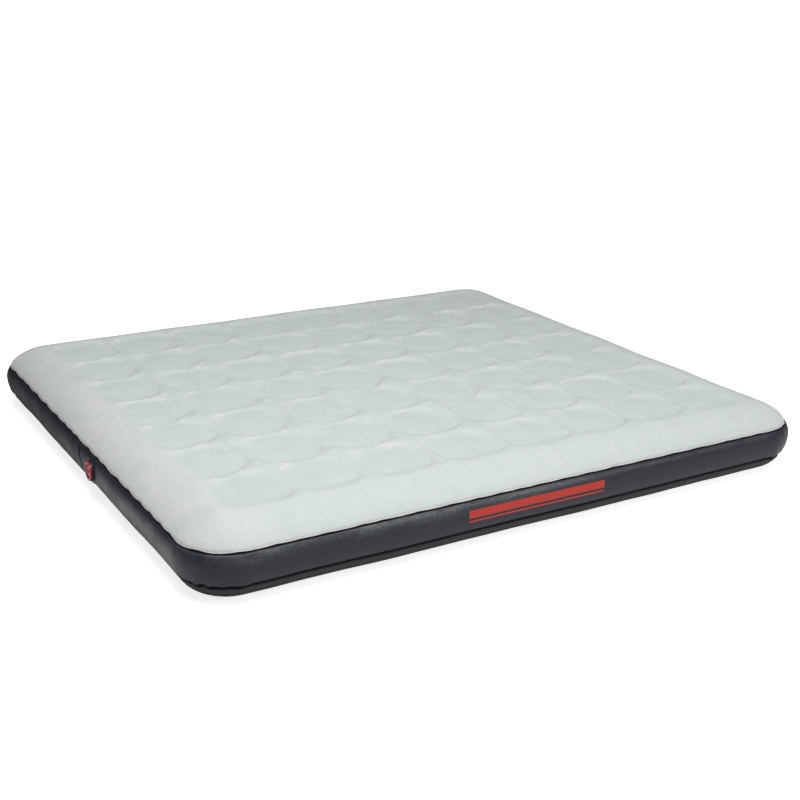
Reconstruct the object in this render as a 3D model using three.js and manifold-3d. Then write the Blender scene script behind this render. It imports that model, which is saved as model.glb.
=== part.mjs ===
// A double-height camping air bed: a flocked top sheet, a vinyl side band and a vinyl bottom sheet
// welded into one flat chamber, held flat inside by rows of welded coils, with a two-stage valve.
// Millimetres. +X runs along the bed, -Y is the long front side, +Z is up.
// The origin is on the floor, under the middle of the bed. The valve is in the -X end.
import * as THREE from "three";
import { mergeVertices } from "three/addons/utils/BufferGeometryUtils.js";
import Module from "manifold-3d";

// ---------------------------------------------------------------- driving dimensions
const LENGTH = 2000; // along X, over the side bands
const WIDTH = 1850; // along Y, over the side bands
const HEIGHT = 200; // inflated height
const CORNER_RADIUS = 150; // of the outline, at its widest level
const WAIST_HEIGHT = 106; // level at which the side band bulges furthest out
const TOP_ROUND = 160; // how far in from the side the top becomes flat
const BOTTOM_ROUND = 87; // how far in from the side the underside becomes flat
const TOP_SEAM_HEIGHT = 144; // edge of the top sheet on the side band
const BOTTOM_SEAM_HEIGHT = 49; // lower edge of the side band on the bottom sheet
const WELD_OVERLAP = 8; // how far one sheet reaches behind the other at a weld

const TOP_THICKNESS = 0.9; // vinyl and its flock
const VINYL_THICKNESS = 0.5; // side band, bottom sheet and coils
const GAP = 0.3; // between pieces that touch

const COILS_ALONG = 8; // along X
const COILS_ACROSS = 7; // along Y
const COIL_PITCH_X = 218;
const COIL_PITCH_Y = 228;
const COIL_RADIUS = 88;
const DIMPLE_DEPTH = 16; // how far a coil pulls each sheet in
const DIMPLE_RADIUS = 92; // flat floor of a dimple, just wider than its coil
const COIL_SIDES = 8;
const VENT_WIDTH = 12; // slit in each coil that lets the air through

const BAND_JOINT_Y = -20; // where the two ends of the side band overlap, in the -X end
const BAND_JOINT_OVERLAP = 12;

const VALVE_Y = -137; // valve axis, which runs along X
const VALVE_Z = 98;

// ---------------------------------------------------------------- materials
const finish = (color, roughness, metalness = 0) =>
  new THREE.MeshStandardMaterial({ color, roughness, metalness });
const FLOCK = finish(0xd2d9d9, 0.95);
const BAND_VINYL = finish(0x3a3b42, 0.45);
const BASE_VINYL = finish(0x4a4b4e, 0.55);
const COIL_VINYL = finish(0xc9cdd0, 0.5);
const VALVE_BLACK = finish(0x1d1e21, 0.4);
const VALVE_RED = finish(0xb8242b, 0.35);
const SOFT_RUBBER = finish(0x2b2c2f, 0.7);
const FLAP_SILICONE = finish(0xd8d4cc, 0.6);

// ---------------------------------------------------------------- the skin of the chamber
// The side is two quarter ellipses that meet at the waist: one up to the flat top, one down to the flat base.
const UPPER = { sign: 1, round: TOP_ROUND, rise: HEIGHT - WAIST_HEIGHT };
const LOWER = { sign: -1, round: BOTTOM_ROUND, rise: WAIST_HEIGHT };

// The sheets lie over each other like shingles: the top sheet outside the band, the band outside the bottom.
const TOP_DEPTH = -(TOP_THICKNESS + GAP);
const BAND_DEPTH = 0;
const BOTTOM_DEPTH = VINYL_THICKNESS + GAP;

// Angle from the waist at which a quarter ellipse reaches a level.
const angleAt = (half, z) => Math.asin((half.sign * (z - WAIST_HEIGHT)) / half.rise);

// A point of the side's section: how far in from the outline, and its level, moved inwards by depth.
function sectionPoint(half, angle, depth) {
  const across = half.rise * Math.cos(angle);
  const up = half.round * Math.sin(angle);
  const scale = depth / Math.hypot(across, up);
  return {
    inset: half.round * (1 - Math.cos(angle)) + across * scale,
    z: WAIST_HEIGHT + half.sign * (half.rise * Math.sin(angle) - up * scale),
  };
}

const CORNER_STEPS = 6;
// The rounded rectangle, counter-clockwise from the middle of the -X, -Y corner's start.
function outline({ inset, z }) {
  const points = [];
  const radius = CORNER_RADIUS - inset;
  for (let corner = 0; corner < 4; corner++) {
    const start = Math.PI + (corner * Math.PI) / 2;
    const middle = start + Math.PI / 4;
    const centreX = Math.sign(Math.cos(middle)) * (LENGTH / 2 - CORNER_RADIUS);
    const centreY = Math.sign(Math.sin(middle)) * (WIDTH / 2 - CORNER_RADIUS);
    for (let step = 0; step <= CORNER_STEPS; step++) {
      const angle = start + (step / CORNER_STEPS) * (Math.PI / 2);
      points.push(
        new THREE.Vector3(centreX + radius * Math.cos(angle), centreY + radius * Math.sin(angle), z),
      );
    }
  }
  return points;
}

// Triangles between two closed loops with the same number of points.
function joinLoops(lower, upper, closed = true) {
  const triangles = [];
  const count = closed ? lower.length : lower.length - 1;
  for (let i = 0; i < count; i++) {
    const next = (i + 1) % lower.length;
    triangles.push([lower[i], lower[next], upper[next]], [lower[i], upper[next], upper[i]]);
  }
  return triangles;
}

// Triangles between two nested loops of different counts, stepping round both by bearing.
function zipLoops(outer, inner) {
  const bearing = (p) => Math.atan2(p.y, p.x);
  const sorted = (loop) => [...loop].sort((a, b) => bearing(a) - bearing(b));
  const a = sorted(outer);
  const b = sorted(inner);
  const at = (loop, i) => loop[i % loop.length];
  const turned = (loop, i) => bearing(at(loop, i)) + (i >= loop.length ? 2 * Math.PI : 0);
  const triangles = [];
  let i = 0;
  let j = 0;
  while (i < a.length || j < b.length) {
    const outerNext = j >= b.length || (i < a.length && turned(a, i + 1) <= turned(b, j + 1));
    if (outerNext) {
      triangles.push([at(a, i), at(a, i + 1), at(b, j)]);
      i++;
    } else {
      triangles.push([at(a, i), at(b, j + 1), at(b, j)]);
      j++;
    }
  }
  return triangles;
}

const flipped = (triangles) => triangles.map(([a, b, c]) => [a, c, b]);

function geometryOf(triangles) {
  const position = new Float32Array(triangles.flat().flatMap((p) => [p.x, p.y, p.z]));
  return new THREE.BufferGeometry().setAttribute("position", new THREE.BufferAttribute(position, 3));
}

// ---------------------------------------------------------------- dimpled sheets
// Octagon points: the floor of a dimple is a regular octagon, and its crest touches the next cells.
const octagonAngle = (k) => ((k + 0.5) * 2 * Math.PI) / COIL_SIDES;
const CREST_REACH = 1 / Math.cos(Math.PI / COIL_SIDES);

// One cell of the grid, flat at the crest and dimpled over its coil. Faces point to +Z.
function dimpleCell(centreX, centreY, crestZ, floorZ) {
  const floor = [];
  const crest = [];
  for (let k = 0; k < COIL_SIDES; k++) {
    const cos = Math.cos(octagonAngle(k));
    const sin = Math.sin(octagonAngle(k));
    floor.push(new THREE.Vector3(centreX + DIMPLE_RADIUS * cos, centreY + DIMPLE_RADIUS * sin, floorZ));
    crest.push(
      new THREE.Vector3(
        centreX + (COIL_PITCH_X / 2) * CREST_REACH * cos,
        centreY + (COIL_PITCH_Y / 2) * CREST_REACH * sin,
        crestZ,
      ),
    );
  }
  const triangles = joinLoops(crest, floor);
  for (let k = 1; k < COIL_SIDES - 1; k++) triangles.push([floor[0], floor[k], floor[k + 1]]);
  for (let quarter = 0; quarter < 4; quarter++) {
    const before = crest[2 * quarter];
    const after = crest[2 * quarter + 1];
    const middle = (quarter + 0.5) * (Math.PI / 2);
    const corner = new THREE.Vector3(
      centreX + (Math.sign(Math.cos(middle)) * COIL_PITCH_X) / 2,
      centreY + (Math.sign(Math.sin(middle)) * COIL_PITCH_Y) / 2,
      crestZ,
    );
    triangles.push([before, corner, after]);
  }
  return triangles;
}

const coilX = (column) => (column - (COILS_ALONG - 1) / 2) * COIL_PITCH_X;
const coilY = (row) => (row - (COILS_ACROSS - 1) / 2) * COIL_PITCH_Y;
const GRID_X = (COILS_ALONG * COIL_PITCH_X) / 2;
const GRID_Y = (COILS_ACROSS * COIL_PITCH_Y) / 2;

// Every point of the grid's edge, once.
function gridEdge(triangles) {
  const nearly = (a, b) => Math.abs(a - b) < 1e-6;
  const edge = new Map();
  for (const p of triangles.flat()) {
    const onEdge = nearly(Math.abs(p.x), GRID_X) || nearly(Math.abs(p.y), GRID_Y);
    if (onEdge) edge.set(`${p.x.toFixed(3)} ${p.y.toFixed(3)}`, p);
  }
  return [...edge.values()];
}

// Angles of a sheet's rings: its edge, just past its weld, and three more up to where it is flat.
function ringAngles(half, edgeZ, flatAngle) {
  const edge = angleAt(half, edgeZ);
  const clear = angleAt(half, edgeZ + half.sign * (WELD_OVERLAP + 2));
  const middles = [1 / 3, 2 / 3].map((part) => clear + (flatAngle - clear) * part);
  return [edge, clear, ...middles, flatAngle];
}

// One face of a top or bottom sheet. Faces point to +Z on the upper half and to -Z on the lower one.
function sheetFace(half, angles, crestZ, depth, intoChamber) {
  const crest = crestZ - half.sign * intoChamber;
  const floor = crest - half.sign * DIMPLE_DEPTH;
  const triangles = [];
  for (let column = 0; column < COILS_ALONG; column++)
    for (let row = 0; row < COILS_ACROSS; row++)
      triangles.push(...dimpleCell(coilX(column), coilY(row), crest, floor));
  const rings = angles.map((angle) => outline(sectionPoint(half, angle, depth + intoChamber)));
  triangles.push(...zipLoops(rings.at(-1), gridEdge(triangles)));
  for (let i = 1; i < rings.length; i++) triangles.push(...joinLoops(rings[i - 1], rings[i]));
  return { triangles: half.sign > 0 ? triangles : flipped(triangles), rim: rings[0] };
}

// A sheet with its real thickness: an outer face, an inner face and the cut edge between them.
function dimpledSheet(half, edgeZ, flatAngle, crestZ, depth, thickness) {
  const angles = ringAngles(half, edgeZ, flatAngle);
  const outer = sheetFace(half, angles, crestZ, depth, 0);
  const inner = sheetFace(half, angles, crestZ, depth, thickness);
  const cutEdge = joinLoops(inner.rim, outer.rim);
  return geometryOf([
    ...outer.triangles,
    ...flipped(inner.triangles),
    ...(half.sign > 0 ? cutEdge : flipped(cutEdge)),
  ]);
}

const TOP_FLAT_ANGLE = Math.acos(0.35); // where the rounded edge hands over to the dimpled grid
const topSheet = () =>
  dimpledSheet(UPPER, TOP_SEAM_HEIGHT, TOP_FLAT_ANGLE, HEIGHT, TOP_DEPTH, TOP_THICKNESS);

const bottomSheet = () =>
  dimpledSheet(
    { ...LOWER, rise: LOWER.rise + BOTTOM_DEPTH }, // its outer face still ends on the floor
    BOTTOM_SEAM_HEIGHT + WELD_OVERLAP,
    Math.PI / 2,
    0,
    BOTTOM_DEPTH,
    VINYL_THICKNESS,
  );

// ---------------------------------------------------------------- side band
const BAND_LEVELS = [49, 59, 74, 90, 106, 120, 133]; // the two lowest clear the bottom sheet's edge
const BAND_TOP = TOP_SEAM_HEIGHT + WELD_OVERLAP;
const BAND_TRIMMED_TOP = TOP_SEAM_HEIGHT - 2 * GAP; // below the top sheet's edge, at the lap

// Points of the band's section from its lower edge to its top, at one place round the bed.
function bandSection(topZ, depth) {
  return [...BAND_LEVELS, topZ].map((z) => {
    const half = z >= WAIST_HEIGHT ? UPPER : LOWER;
    return sectionPoint(half, angleAt(half, z), depth);
  });
}

// The band is one strip. It starts and ends in the -X end, and its last stretch steps out over its start.
function bandFace(intoChamber) {
  const step = VINYL_THICKNESS + GAP;
  const joint = BAND_JOINT_Y;
  const straight = (y, topZ, lift) =>
    bandSection(topZ, BAND_DEPTH - lift + intoChamber).map(
      ({ inset, z }) => new THREE.Vector3(inset - LENGTH / 2, y, z),
    );
  const full = bandSection(BAND_TOP, BAND_DEPTH + intoChamber).map(outline);
  const around = full[0].map((_, i) => full.map((level) => level[i]));
  return [
    straight(joint, BAND_TOP, 0),
    ...around,
    straight(joint + 40, BAND_TOP, 0),
    straight(joint + 25, BAND_TRIMMED_TOP, 0),
    straight(joint + 3, BAND_TRIMMED_TOP, step),
    straight(joint - BAND_JOINT_OVERLAP, BAND_TRIMMED_TOP, step),
  ];
}

function sideBand(holeCutter) {
  const outer = bandFace(0);
  const inner = bandFace(VINYL_THICKNESS);
  const last = outer.length - 1;
  const top = outer[0].length - 1;
  const stitch = (from, to) => joinLoops(from, to, false);
  const triangles = [];
  for (let i = 0; i < last; i++) {
    triangles.push(...flipped(stitch(outer[i], outer[i + 1])));
    triangles.push(...stitch(inner[i], inner[i + 1]));
  }
  const edge = (face, level) => face.map((section) => section[level]);
  triangles.push(...stitch(edge(outer, top), edge(inner, top)));
  triangles.push(...flipped(stitch(edge(outer, 0), edge(inner, 0))));
  triangles.push(...stitch(inner[0], outer[0]).map(([a, b, c]) => [a, c, b]));
  triangles.push(...flipped(stitch(outer[last], inner[last])));
  return geometryFrom(solidFrom(geometryOf(triangles)).subtract(holeCutter));
}

// ---------------------------------------------------------------- booleans
const wasm = await Module();
wasm.setup();

function solidFrom(geometry, matrix = new THREE.Matrix4()) {
  const bare = geometry.index ? geometry.toNonIndexed() : geometry.clone();
  const plain = new THREE.BufferGeometry().setAttribute("position", bare.getAttribute("position"));
  const merged = mergeVertices(plain.applyMatrix4(matrix), 1e-3);
  return new wasm.Manifold(
    new wasm.Mesh({
      numProp: 3,
      vertProperties: merged.attributes.position.array,
      triVerts: new Uint32Array(merged.index.array),
    }),
  );
}

function geometryFrom(solid) {
  const mesh = solid.getMesh();
  const position = new Float32Array(mesh.numVert * 3);
  for (let i = 0; i < mesh.numVert; i++)
    position.set(mesh.vertProperties.subarray(i * mesh.numProp, i * mesh.numProp + 3), i * 3);
  return new THREE.BufferGeometry()
    .setAttribute("position", new THREE.BufferAttribute(position, 3))
    .setIndex(new THREE.BufferAttribute(mesh.triVerts, 1));
}

// ---------------------------------------------------------------- coils
// Two coils side by side, bent from one strip: it runs round one loop, across a short web and round the
// other. Each loop stays open by a slit on its far side, which lets the air in and out.
function coilPair() {
  const flat = Math.cos(Math.PI / COIL_SIDES);
  const inside = COIL_RADIUS - VINYL_THICKNESS;
  const corner = (centre, radius, k) =>
    new THREE.Vector2(centre + radius * Math.cos(octagonAngle(k)), radius * Math.sin(octagonAngle(k)));
  const loop = (centre, radius, from, to) => {
    const step = Math.sign(to - from);
    const points = [];
    for (let k = from; k !== to + step; k += step) points.push(corner(centre, radius, k));
    return points;
  };
  const right = COIL_PITCH_X;
  const slit = VENT_WIDTH / 2;
  const web = VINYL_THICKNESS / 2;
  const points = [
    new THREE.Vector2(-COIL_RADIUS * flat, slit),
    ...loop(0, COIL_RADIUS, 3, 0),
    new THREE.Vector2(COIL_RADIUS * flat, web),
    new THREE.Vector2(right - COIL_RADIUS * flat, web),
    ...loop(right, COIL_RADIUS, 3, 0),
    new THREE.Vector2(right + COIL_RADIUS * flat, slit),
    new THREE.Vector2(right + inside * flat, slit),
    ...loop(right, inside, 0, 7),
    new THREE.Vector2(right + inside * flat, -slit),
    new THREE.Vector2(right + COIL_RADIUS * flat, -slit),
    ...loop(right, COIL_RADIUS, 7, 4),
    new THREE.Vector2(right - COIL_RADIUS * flat, -web),
    new THREE.Vector2(COIL_RADIUS * flat, -web),
    ...loop(0, COIL_RADIUS, 7, 4),
    new THREE.Vector2(-COIL_RADIUS * flat, -slit),
    new THREE.Vector2(-inside * flat, -slit),
    ...loop(0, inside, 4, 11),
    new THREE.Vector2(-inside * flat, slit),
  ];
  return new THREE.ExtrudeGeometry(new THREE.Shape(points), {
    depth: COIL_TOP - COIL_BOTTOM,
    bevelEnabled: false,
  });
}
const COIL_TOP = HEIGHT - DIMPLE_DEPTH - TOP_THICKNESS - GAP;
const COIL_BOTTOM = DIMPLE_DEPTH + VINYL_THICKNESS + GAP;

// ---------------------------------------------------------------- valve
// Valve sections are drawn as [radius, reach], where reach is measured outwards along the valve's axis
// from the plane in which the side band bulges furthest.
const TURN_SIDES = 20;
const turned = (section, sides = TURN_SIDES) =>
  new THREE.LatheGeometry(
    [...section, section[0]].map(([radius, reach]) => new THREE.Vector2(radius, reach)),
    sides,
  );
// A lathe turns about +Y; this lays that axis along -X, out of the bed's end.
const VALVE_TURN = new THREE.Matrix4().makeRotationZ(Math.PI / 2);
const VALVE_PLACE = new THREE.Matrix4().setPosition(-LENGTH / 2, VALVE_Y, VALVE_Z).multiply(VALVE_TURN);
const laidAlongAxis = (geometry) => geometry.applyMatrix4(VALVE_PLACE);

const COLLAR_RADIUS = 31;
const NECK_BORE = 22;
const NECK_OUTSIDE = 26;
const NECK_FACE = 1.5;
const NECK_END = -16;
const FLANGE_RADIUS = 38;
const FLANGE_REACH = -10.3; // clear of the inside of the curved band
const BAND_HOLE = COLLAR_RADIUS + 1;
const EAR_REACH = 0.6; // the collar's ear lies just outside the band and holds the plug's tether
const EAR_RADIUS = 5;
const EAR_OFFSET = 40;
const PEG_RADIUS = 1.8;
const PEG_END = 4.2;

// Welded flange, threaded neck, the collar that shows round the plug, and an ear with a peg to one side.
function valveBase() {
  const body = solidFrom(
    turned([
      [NECK_BORE, NECK_END],
      [NECK_OUTSIDE, NECK_END],
      [NECK_OUTSIDE, FLANGE_REACH - 1.5],
      [FLANGE_RADIUS, FLANGE_REACH - 1.5],
      [FLANGE_RADIUS, FLANGE_REACH],
      [NECK_OUTSIDE, FLANGE_REACH],
      [NECK_OUTSIDE, -2.5],
      [COLLAR_RADIUS, -1.5],
      [COLLAR_RADIUS, NECK_FACE - 0.8],
      [COLLAR_RADIUS - 0.8, NECK_FACE],
      [NECK_BORE, NECK_FACE],
    ]),
  );
  const thickness = NECK_FACE - EAR_REACH;
  const middle = (NECK_FACE + EAR_REACH) / 2;
  const bridgeStart = (NECK_BORE + COLLAR_RADIUS) / 2;
  const bridge = new THREE.BoxGeometry(EAR_OFFSET - bridgeStart, thickness, 2 * EAR_RADIUS);
  const ear = new THREE.CylinderGeometry(EAR_RADIUS, EAR_RADIUS, thickness, 12);
  const peg = new THREE.CylinderGeometry(PEG_RADIUS, PEG_RADIUS, PEG_END - EAR_REACH, 8);
  const at = (reach, aside) => new THREE.Matrix4().setPosition(aside, reach, 0);
  return geometryFrom(
    body
      .add(solidFrom(bridge, at(middle, (bridgeStart + EAR_OFFSET) / 2)))
      .add(solidFrom(ear, at(middle, EAR_OFFSET)))
      .add(solidFrom(peg, at((PEG_END + EAR_REACH) / 2, EAR_OFFSET))),
  );
}

const SEAL_INSIDE = 22.6;
const SEAL_OUTSIDE = 25;
const SEAL_FACE = NECK_FACE + GAP;
const PLUG_SEAL_FACE = SEAL_FACE + 1.4;
const plugSeal = () =>
  turned([
    [SEAL_INSIDE, SEAL_FACE],
    [SEAL_OUTSIDE, SEAL_FACE],
    [SEAL_OUTSIDE, PLUG_SEAL_FACE],
    [SEAL_INSIDE, PLUG_SEAL_FACE],
  ]);

// A flat ring that the plug turns in, with a strap that ends in an eye over the collar's peg.
function plugTether() {
  const inside = SEAL_OUTSIDE + 0.6;
  const ringRadius = 30.2;
  const strapHalf = 3.5;
  const eyeRadius = 4.5;
  const leave = Math.asin(strapHalf / ringRadius);
  const meet = Math.asin(strapHalf / eyeRadius);
  const strap = new THREE.Shape();
  strap.absarc(0, 0, ringRadius, leave, 2 * Math.PI - leave, false);
  strap.absarc(EAR_OFFSET, 0, eyeRadius, Math.PI + meet, 3 * Math.PI - meet, false);
  strap.closePath();
  const hole = new THREE.Path();
  hole.absarc(0, 0, inside, 0, 2 * Math.PI, true);
  const eye = new THREE.Path();
  eye.absarc(EAR_OFFSET, 0, PEG_RADIUS + GAP, 0, 2 * Math.PI, true);
  strap.holes.push(hole, eye);
  const flat = new THREE.ExtrudeGeometry(strap, {
    depth: PLUG_SEAL_FACE - SEAL_FACE,
    bevelEnabled: false,
    curveSegments: TURN_SIDES / 2,
  });
  return flat.rotateX(-Math.PI / 2).translate(0, SEAL_FACE, 0);
}

const PLUG_RADIUS = 28;
const PLUG_UNDERSIDE = PLUG_SEAL_FACE + GAP;
const PLUG_FACE = 8;
const PLUG_WALL = 2.4;
const RECESS_RADIUS = NECK_BORE - 0.6 - PLUG_WALL;
const RECESS_FLOOR = -3;
const SPOUT_RADIUS = 10;
const SPOUT_BORE = 7.5;
const SPOUT_END = 3.5;
const SEAT_OUTER = -8.5;
const SEAT_INNER = -10.5;
const STEM_HOLE = 1.9;
const AIR_HOLE = 1.9;
const AIR_HOLES = 4;
const FINGER_NOTCHES = 8;

// The large red plug: a threaded cup with a flat rim, and in its middle the spout for the pump.
function deflationPlug() {
  let plug = solidFrom(
    turned(
      [
        [STEM_HOLE, SEAT_INNER],
        [SPOUT_RADIUS, SEAT_INNER],
        [SPOUT_RADIUS, RECESS_FLOOR - 2],
        [RECESS_RADIUS, RECESS_FLOOR - 2],
        [RECESS_RADIUS, -9],
        [NECK_BORE - 0.6, -9],
        [NECK_BORE - 0.6, PLUG_UNDERSIDE],
        [PLUG_RADIUS, PLUG_UNDERSIDE],
        [PLUG_RADIUS, PLUG_FACE - 1],
        [PLUG_RADIUS - 1, PLUG_FACE],
        [RECESS_RADIUS, PLUG_FACE],
        [RECESS_RADIUS, RECESS_FLOOR],
        [SPOUT_RADIUS, RECESS_FLOOR],
        [SPOUT_RADIUS, SPOUT_END],
        [SPOUT_BORE, SPOUT_END],
        [SPOUT_BORE, SEAT_OUTER],
        [STEM_HOLE, SEAT_OUTER],
      ],
      24,
    ),
  );
  const cutter = (radius, length, sides) => new THREE.CylinderGeometry(radius, radius, length, sides);
  const ringOf = (count, ringRadius, geometry, reach) => {
    for (let i = 0; i < count; i++) {
      const angle = ((i + 0.5) * 2 * Math.PI) / count;
      const place = new THREE.Matrix4().setPosition(
        ringRadius * Math.cos(angle),
        reach,
        ringRadius * Math.sin(angle),
      );
      plug = plug.subtract(solidFrom(geometry, place));
    }
  };
  ringOf(AIR_HOLES, 4.7, cutter(AIR_HOLE, 6, 6), (SEAT_OUTER + SEAT_INNER) / 2);
  ringOf(FINGER_NOTCHES, PLUG_RADIUS + 1.6, cutter(3, 8, 8), PLUG_FACE - 0.5);
  return geometryFrom(plug);
}

const CAP_SKIRT_END = -0.9;
const CAP_UNDERSIDE = SPOUT_END + 1.5;
const CAP_TOP = 6.4;
// The small red cap that screws over the spout, with a bar across its top to turn it by.
function inflationCap() {
  const body = solidFrom(
    turned([
      [0, CAP_UNDERSIDE],
      [SPOUT_RADIUS + 0.4, CAP_UNDERSIDE],
      [SPOUT_RADIUS + 0.4, CAP_SKIRT_END],
      [12.4, CAP_SKIRT_END],
      [12.4, CAP_UNDERSIDE - 0.6],
      [15, CAP_UNDERSIDE],
      [15, CAP_TOP - 0.6],
      [14.4, CAP_TOP],
      [0, CAP_TOP],
    ]),
  );
  const bar = new THREE.BoxGeometry(22, 2.4, 4);
  return geometryFrom(body.add(solidFrom(bar, new THREE.Matrix4().setPosition(0, CAP_TOP + 0.8, 0))));
}

const capSeal = () =>
  turned([
    [6.6, SPOUT_END + GAP],
    [SPOUT_RADIUS, SPOUT_END + GAP],
    [SPOUT_RADIUS, CAP_UNDERSIDE - GAP],
    [6.6, CAP_UNDERSIDE - GAP],
  ]);

// A flat ring under the cap's skirt with a tail to the wall of the plug's recess.
function capTether() {
  const ring = new THREE.Shape();
  const tailAngle = 0.16;
  const ringRadius = 13.4;
  ring.absarc(0, 0, ringRadius, tailAngle, 2 * Math.PI - tailAngle, false);
  ring.lineTo(RECESS_RADIUS - 0.4, -ringRadius * Math.sin(tailAngle));
  ring.lineTo(RECESS_RADIUS - 0.4, ringRadius * Math.sin(tailAngle));
  ring.closePath();
  const hole = new THREE.Path();
  hole.absarc(0, 0, SPOUT_RADIUS + 0.4, 0, 2 * Math.PI, true);
  ring.holes.push(hole);
  const thickness = CAP_SKIRT_END - GAP - (RECESS_FLOOR + GAP);
  const flat = new THREE.ExtrudeGeometry(ring, {
    depth: thickness,
    bevelEnabled: false,
    curveSegments: TURN_SIDES,
  });
  return flat.rotateX(-Math.PI / 2).translate(0, RECESS_FLOOR + GAP, 0);
}

const FLAP_LIFT = 3;
// The non-return flap: a soft disc inside the seat, held by a stem with a barb on the pump's side.
const checkFlap = () => {
  const face = SEAT_INNER - GAP;
  const barb = SEAT_OUTER + GAP + FLAP_LIFT;
  return turned(
    [
      [0, face - 1.2],
      [8.4, face - 0.8],
      [8.4, face],
      [1.4, face],
      [1.4, barb],
      [2.5, barb],
      [1, barb + 1.3],
      [0, barb + 1.3],
    ],
    16,
  );
};

// ---------------------------------------------------------------- assembly
const bed = new THREE.Group();

function add(name, geometry, material) {
  const mesh = new THREE.Mesh(geometry, material);
  mesh.name = name;
  bed.add(mesh);
  return mesh;
}

add("top_sheet", topSheet(), FLOCK);
add("bottom_sheet", bottomSheet(), BASE_VINYL);
const bandHole = new THREE.CylinderGeometry(BAND_HOLE, BAND_HOLE, 60, 24).applyMatrix4(VALVE_PLACE);
add("side_band", sideBand(solidFrom(bandHole)), BAND_VINYL);

const pair = coilPair();
for (let row = 0; row < COILS_ACROSS; row++)
  for (let column = 0; column < COILS_ALONG; column += 2)
    add(`coil_pair_row${row + 1}_${column / 2 + 1}`, pair, COIL_VINYL).position.set(
      coilX(column),
      coilY(row),
      COIL_BOTTOM,
    );

add("valve_base", laidAlongAxis(valveBase()), VALVE_BLACK);
add("plug_tether", laidAlongAxis(plugTether()), VALVE_BLACK);
add("plug_seal", laidAlongAxis(plugSeal()), SOFT_RUBBER);
add("deflation_plug", laidAlongAxis(deflationPlug()), VALVE_RED);
add("cap_seal", laidAlongAxis(capSeal()), SOFT_RUBBER);
add("cap_tether", laidAlongAxis(capTether()), VALVE_RED);
add("inflation_cap", laidAlongAxis(inflationCap()), VALVE_RED);
add("check_flap", laidAlongAxis(checkFlap()), FLAP_SILICONE);

export default bed;
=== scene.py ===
# %% [markdown]
# # A double air bed
# An air bed is a flat bag of vinyl. Three sheets are welded into one chamber: a flocked sheet to lie on, a
# shiny band round the sides and a plain sheet underneath. Inside, rows of short vinyl tubes tie the top to
# the bottom, so the bed stays flat and shows a field of round dimples. A two-stage screw valve sits in one
# end. The CAD model holds the sizes and what moves; this script dresses it.

from math import acos, asin, cos, pi, radians, sin, sqrt, tan

import bmesh
import bpy
import numpy as np
from mathutils import Matrix, Vector


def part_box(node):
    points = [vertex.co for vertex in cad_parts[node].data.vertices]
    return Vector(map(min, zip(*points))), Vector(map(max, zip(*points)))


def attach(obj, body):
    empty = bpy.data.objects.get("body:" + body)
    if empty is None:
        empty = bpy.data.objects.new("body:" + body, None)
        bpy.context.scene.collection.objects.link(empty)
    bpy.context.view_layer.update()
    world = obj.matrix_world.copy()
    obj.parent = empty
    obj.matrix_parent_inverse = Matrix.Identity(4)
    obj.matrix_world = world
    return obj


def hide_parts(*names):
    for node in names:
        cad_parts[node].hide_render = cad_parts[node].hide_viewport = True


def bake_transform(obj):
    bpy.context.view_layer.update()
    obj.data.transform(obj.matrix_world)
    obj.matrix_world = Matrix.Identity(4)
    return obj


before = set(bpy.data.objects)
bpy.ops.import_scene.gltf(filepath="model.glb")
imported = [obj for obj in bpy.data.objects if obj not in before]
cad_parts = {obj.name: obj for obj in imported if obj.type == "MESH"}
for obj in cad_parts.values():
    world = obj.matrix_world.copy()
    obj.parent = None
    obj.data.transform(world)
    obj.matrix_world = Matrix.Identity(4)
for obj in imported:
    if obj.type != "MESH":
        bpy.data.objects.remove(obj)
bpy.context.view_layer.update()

# %% [markdown]
# ## Camera
# The bed is seen from in front of its valve end, from a little above, with a medium lens. The camera is
# placed by turning about a point near the middle of the bed, as one would walk round it: a turn, a height
# above the floor and a distance. It goes first because everything else is judged through it.

# %% Camera
CAMERA_TURN = radians(-30.43)  # round the bed, from straight in front of the long side
CAMERA_RISE = radians(19.01)  # above the floor
CAMERA_ROLL = radians(0.687)
CAMERA_DISTANCE = 4.1725
CAMERA_AIM = (0.072, -0.0282, 0.1)
CAMERA_LENS = 57.11  # millimetres, on a sensor 36 mm wide


def in_scene(name, data):
    """A new object in the scene."""
    thing = bpy.data.objects.new(name, data)
    bpy.context.scene.collection.objects.link(thing)
    return thing


def place_camera():
    """The camera looks straight down at first. It is rolled, tipped up until it looks down by the rise,
    turned round the bed, and set back from its aim."""
    data = bpy.data.cameras.new("camera")
    data.lens = CAMERA_LENS
    data.sensor_width = 36
    camera = in_scene("camera", data)
    facing = Matrix.Rotation(CAMERA_TURN, 4, "Z") @ Matrix.Rotation(pi / 2 - CAMERA_RISE, 4, "X")
    facing = facing @ Matrix.Rotation(CAMERA_ROLL, 4, "Z")
    back = Matrix.Translation((0, 0, CAMERA_DISTANCE))
    camera.matrix_world = Matrix.Translation(CAMERA_AIM) @ facing @ back
    bpy.context.scene.camera = camera
    return camera


camera = place_camera()
print("camera at", [round(v, 3) for v in camera.location])

# %% [markdown]
# ## The bag's own shape
# Blown up, the bag is a rounded rectangle seen from above. Seen from the end, each side is two quarter
# ellipses that meet at the widest level, the waist: a long one up to the flat top and a short one down to
# the floor. All three sheets lie on this one skin, so it is worked out once, as formulas, and each sheet
# takes its own stretch of it. The sizes come from the CAD boxes, so the sheets meet where the CAD says.

# %% Sizes
HALF_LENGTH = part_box("side_band")[1].x
HALF_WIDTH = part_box("side_band")[1].y
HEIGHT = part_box("top_sheet")[1].z
TOP_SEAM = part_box("top_sheet")[0].z  # edge of the flocked sheet
BASE_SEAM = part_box("side_band")[0].z  # lower edge of the band
CORNER_RADIUS = 0.150
WAIST = 0.106
COLUMNS, ROWS = 8, 7  # coils


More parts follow.
